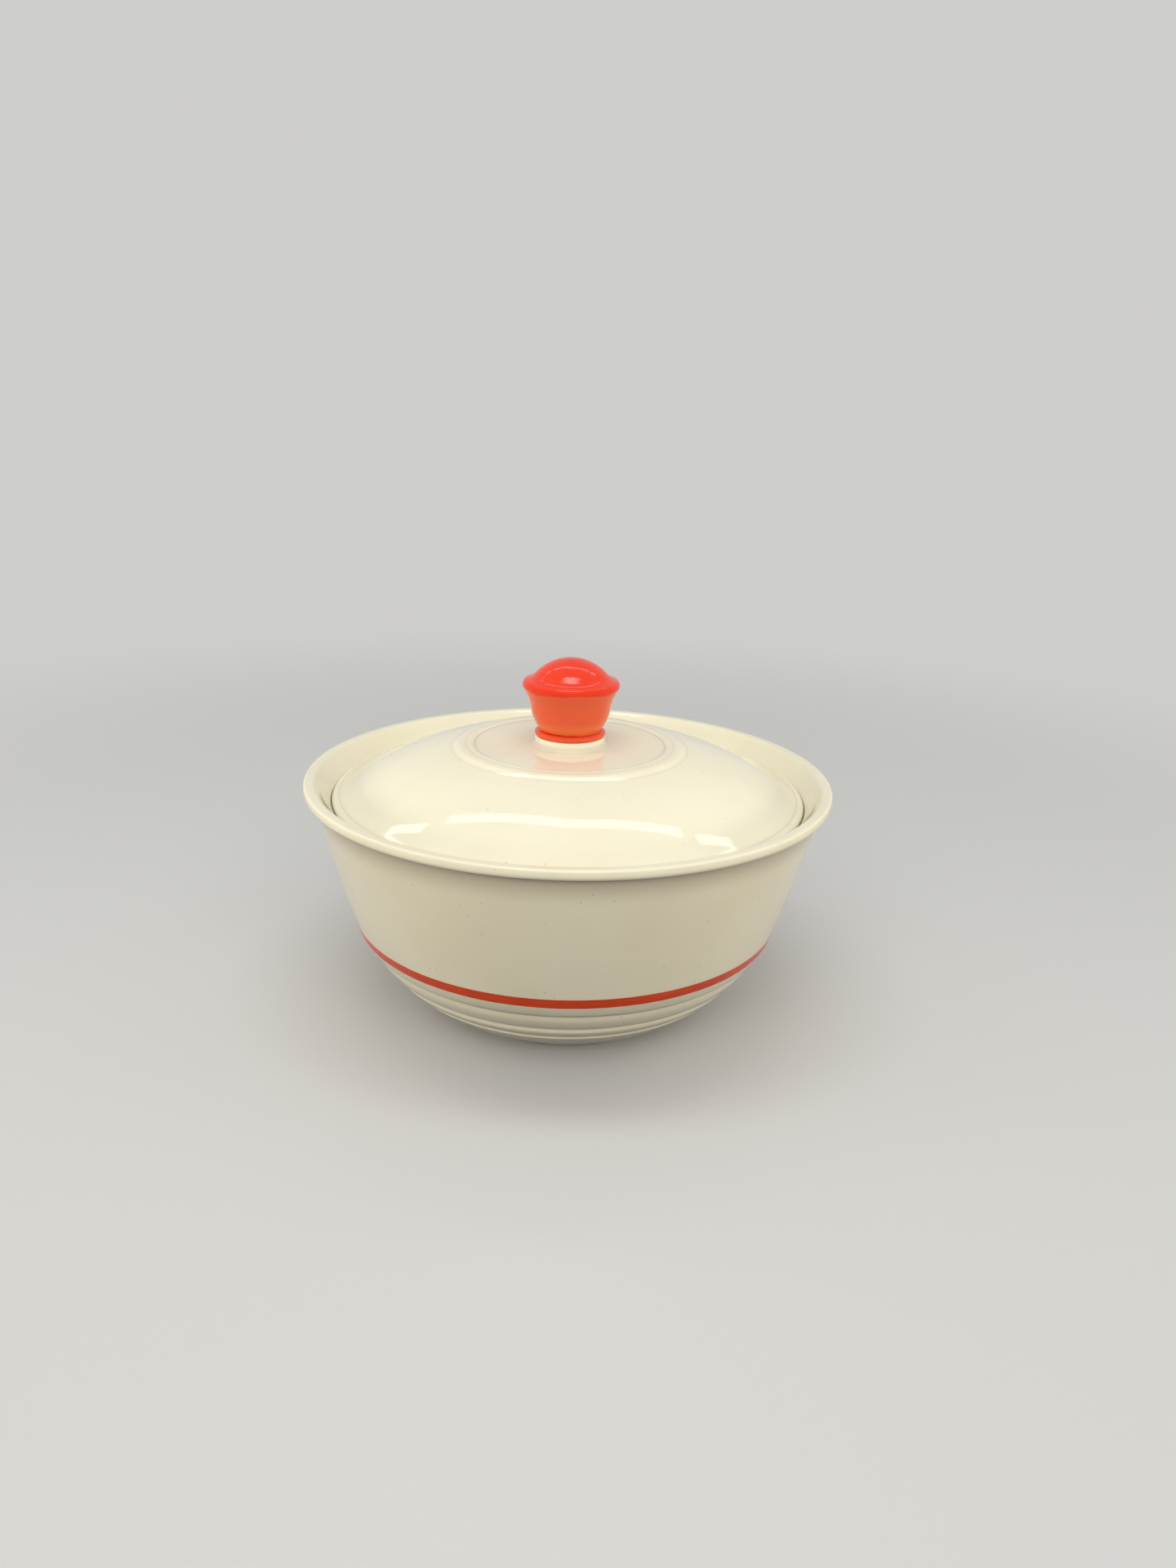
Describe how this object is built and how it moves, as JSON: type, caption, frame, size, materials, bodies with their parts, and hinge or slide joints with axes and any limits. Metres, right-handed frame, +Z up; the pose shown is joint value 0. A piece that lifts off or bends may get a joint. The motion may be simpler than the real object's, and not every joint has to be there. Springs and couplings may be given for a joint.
{
  "type": "covered candy dish",
  "caption": "Round flared bowl with turned ribs and a red line, closed by a loose domed lid with a red knob that sits on a ledge inside the rim.",
  "frame": {"origin": "on the table, under the middle of the foot ring", "axes": "+Z up along the axis that the bowl, lid and knob are turned about, X and Y level"},
  "size_m": [0.152, 0.152, 0.1047],
  "materials": {
    "ivory_glaze": "glossy ivory glaze over earthenware, with fine pinholes",
    "red_line": "hand-laid fired enamel line, satin gloss",
    "red_glaze": "glossy orange-red glaze"
  },
  "bodies": {
    "bowl": {"bowl": "ivory_glaze", "red_band": "red_line"},
    "lid": {"lid": "ivory_glaze", "lid_knob": "red_glaze"}
  },
  "joints": [
    {"name": "lid_lift", "type": "slide", "parent": "bowl", "child": "lid", "axis": [0, 0, 1], "range_m": [0, 0.09]}
  ]
}
